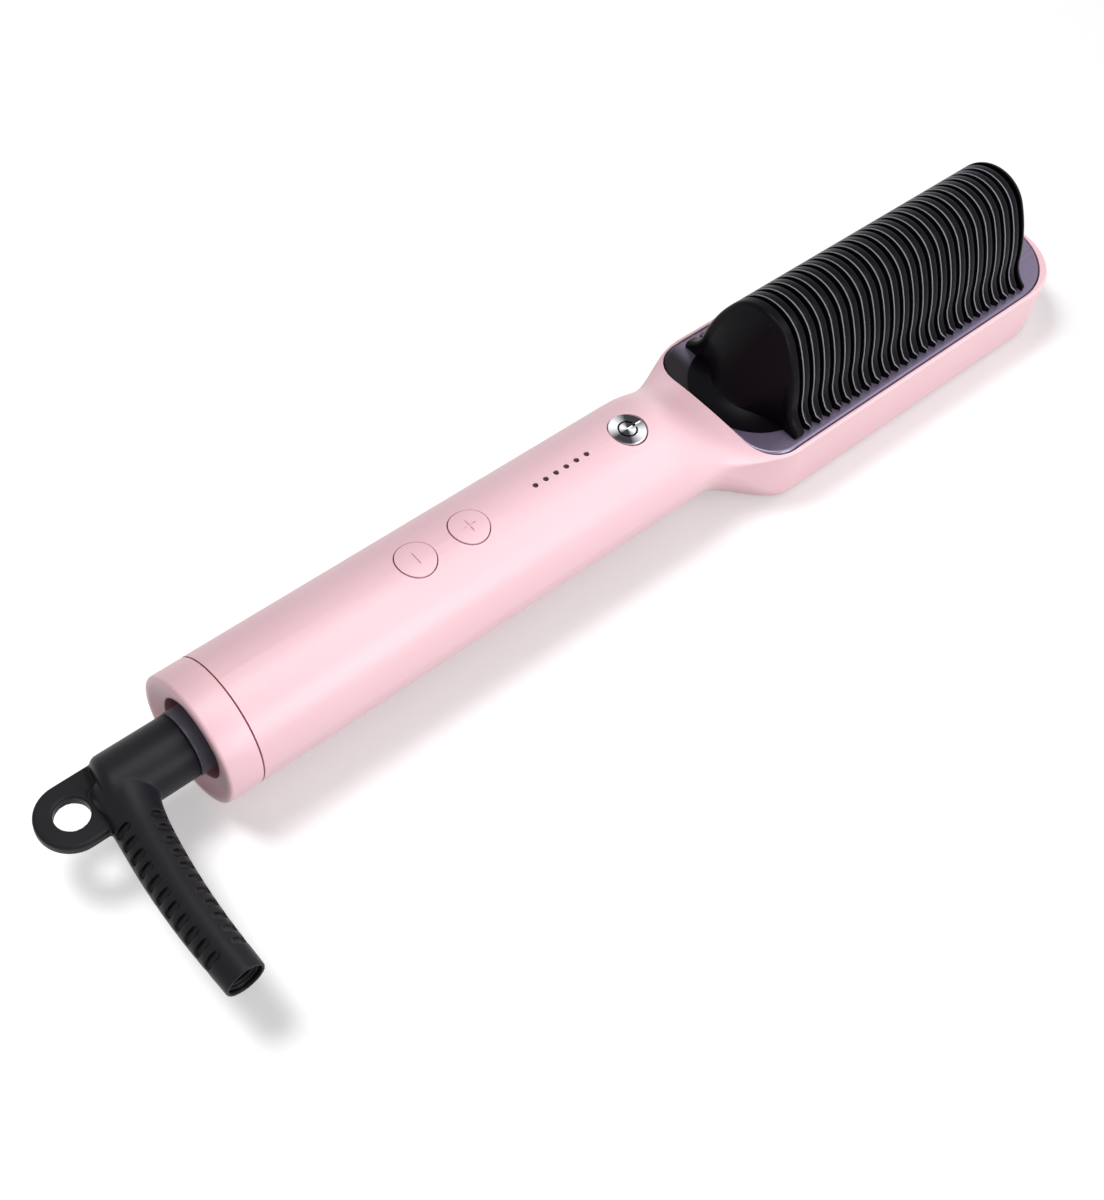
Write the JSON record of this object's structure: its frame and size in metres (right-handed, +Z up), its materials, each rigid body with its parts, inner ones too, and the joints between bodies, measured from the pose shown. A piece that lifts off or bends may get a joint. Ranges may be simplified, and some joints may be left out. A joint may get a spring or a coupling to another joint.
{
  "type": "hot comb",
  "caption": "Hot comb: a round handle widening into a head with a heated plate under arched comb teeth, push buttons and a swivelling cord boot with a hanging eye.",
  "frame": {"origin": "centre of the head's flat back, on which the comb lies, below the middle of the 134 mm head", "axes": "+X along the handle's axis towards the tip of the head, +Z up out of the teeth, +Y across the head"},
  "size_m": [0.3366, 0.0778, 0.0491],
  "materials": {
    "pink_shell": "smooth gloss moulding",
    "grey_collar": "satin grey moulding",
    "black_comb": "satin heat-resistant moulding",
    "plate_metal": "fine satin anodised coating, lavender",
    "boot_rubber": "satin soft-touch",
    "chrome_button": "turned plate on plastic",
    "smoked_lens": "dark red light pipe",
    "bronze": "plain bearing and contact metal",
    "carbon": "pressed carbon brush",
    "spring_steel": "plain",
    "screw_steel": "zinc plated",
    "board": "green solder mask",
    "component_black": "moulded component",
    "component_red": "dipped film capacitor",
    "component_sleeve": "shrunk sleeve",
    "led_white": "light emitting diode",
    "nylon": "natural nylon",
    "mica": "pressed mica",
    "heater_ceramic": "fired",
    "silicone_gasket": "moulded",
    "lead_sheath": "silicone insulated lead"
  },
  "bodies": {
    "case": {"upper_shell": "pink_shell", "lower_shell": "pink_shell", "end_cap": "pink_shell", "swivel_bush": "bronze", "brush_contacts": "carbon", "brush_holder": "nylon", "heating_plate": "plate_metal", "plate_gasket": "silicone_gasket", "comb_guard": "black_comb", "main_board": "board", "film_capacitor": "component_red", "smoothing_capacitor": "component_sleeve", "microcontroller": "component_black", "triac": "component_black", "indicator_leds": "led_white", "light_pipe": "smoked_lens", "power_switch": "component_black", "plus_switch": "component_black", "minus_switch": "component_black", "shell_screws": "screw_steel", "plate_screws": "screw_steel", "comb_screws": "screw_steel", "mica_sheet": "mica", "ceramic_heaters": "heater_ceramic", "heater_clip": "spring_steel", "heat_shield": "spring_steel", "thermal_fuse": "nylon", "temperature_sensor": "heater_ceramic", "heater_leads": "lead_sheath", "mains_leads": "lead_sheath", "sensor_leads": "lead_sheath"},
    "power_button": {"power_button": "chrome_button", "power_plunger": "nylon"},
    "plus_button": {"plus_button": "pink_shell", "plus_plunger": "nylon"},
    "minus_button": {"minus_button": "pink_shell", "minus_plunger": "nylon"},
    "cord_swivel": {"cord_boot": "boot_rubber", "swivel_spindle": "grey_collar", "retaining_ring": "spring_steel", "slip_rings": "bronze"}
  },
  "joints": [
    {"name": "power_press", "type": "slide", "parent": "case", "child": "power_button", "axis": [0, 0, -1], "range_m": [0, 0.0004], "stiffness_N_per_m": 2000},
    {"name": "plus_press", "type": "slide", "parent": "case", "child": "plus_button", "axis": [0, 0, -1], "range_m": [0, 0.0004], "stiffness_N_per_m": 2000},
    {"name": "minus_press", "type": "slide", "parent": "case", "child": "minus_button", "axis": [0, 0, -1], "range_m": [0, 0.0004], "stiffness_N_per_m": 2000},
    {"name": "cord_swivel_turn", "type": "hinge", "parent": "case", "child": "cord_swivel", "pos_m": [-0.232, 0, 0.0176], "axis": [1, 0, 0], "continuous": true}
  ]
}
